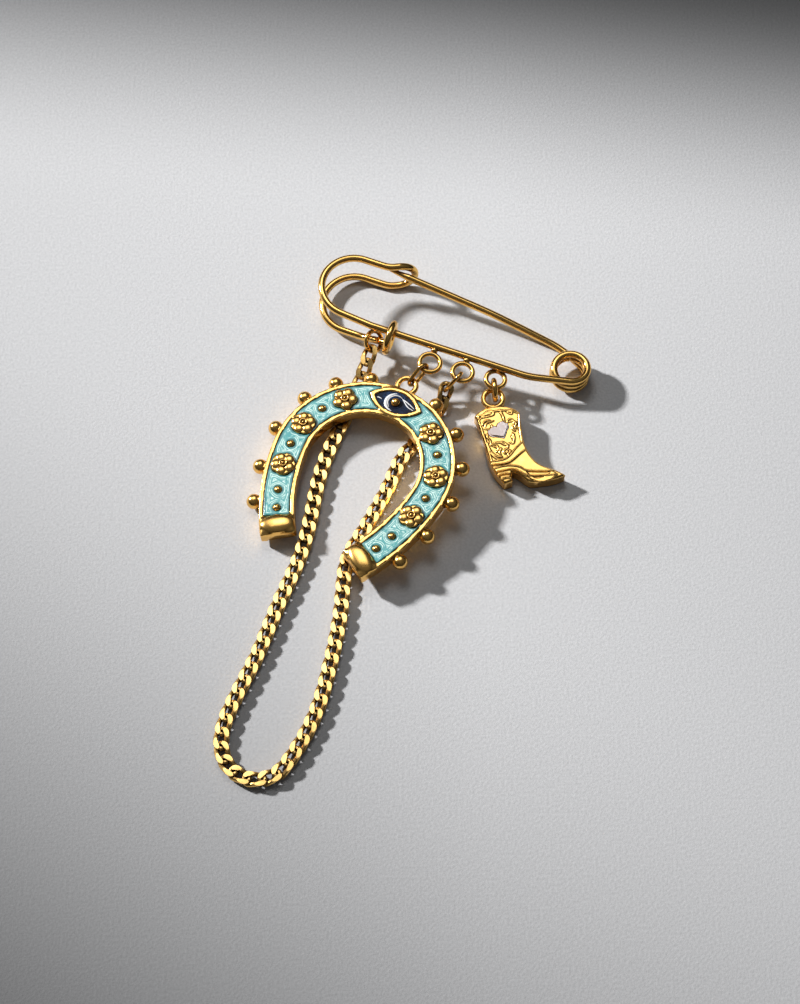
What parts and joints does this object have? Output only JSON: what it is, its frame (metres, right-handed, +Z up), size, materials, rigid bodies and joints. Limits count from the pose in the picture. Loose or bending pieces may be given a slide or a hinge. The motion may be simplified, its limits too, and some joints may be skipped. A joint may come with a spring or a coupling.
{
  "type": "charm brooch",
  "caption": "Kilt-pin brooch with a sprung tongue, an enamelled horseshoe charm, a cowboy boot charm and a long loop of curb chain, lying on its back.",
  "frame": {"origin": "on the surface it lies on, under the middle of the whole object's box", "axes": "+Z up from the surface, +X towards the pin's coil along the picture's width, +Y away from the chain's loop"},
  "size_m": [0.089, 0.1364, 0.0122],
  "materials": {
    "gold_polished": "polished",
    "gold_chain": "polished flat cuts, satin sides",
    "gold_cast": "bright cast",
    "turquoise_enamel": "glossy, swirled",
    "navy_enamel": "glossy",
    "pink_stone": "milky, polished"
  },
  "bodies": {
    "brooch": {"pin_frame": "gold_polished", "bar_ring": "gold_polished", "chain_ring": "gold_polished", "horseshoe_link": "gold_polished", "chain_link": "gold_polished", "boot_ring": "gold_polished", "chain_left": "gold_chain", "chain_right": "gold_chain", "horseshoe_body": "gold_cast", "horseshoe_enamel": "turquoise_enamel", "eye_enamel": "navy_enamel", "boot_charm": "gold_cast", "boot_stone": "pink_stone"},
    "tongue": {"pin_tongue": "gold_polished"}
  },
  "joints": [
    {"name": "tongue_hinge", "type": "hinge", "parent": "brooch", "child": "tongue", "pos_m": [0.03963, 0.03915, 0.00569], "axis": [0.0735, -0.0242, 0.997], "range_deg": [0, 12], "stiffness_Nm_per_rad": 0.3, "springref_deg": -11.46}
  ]
}
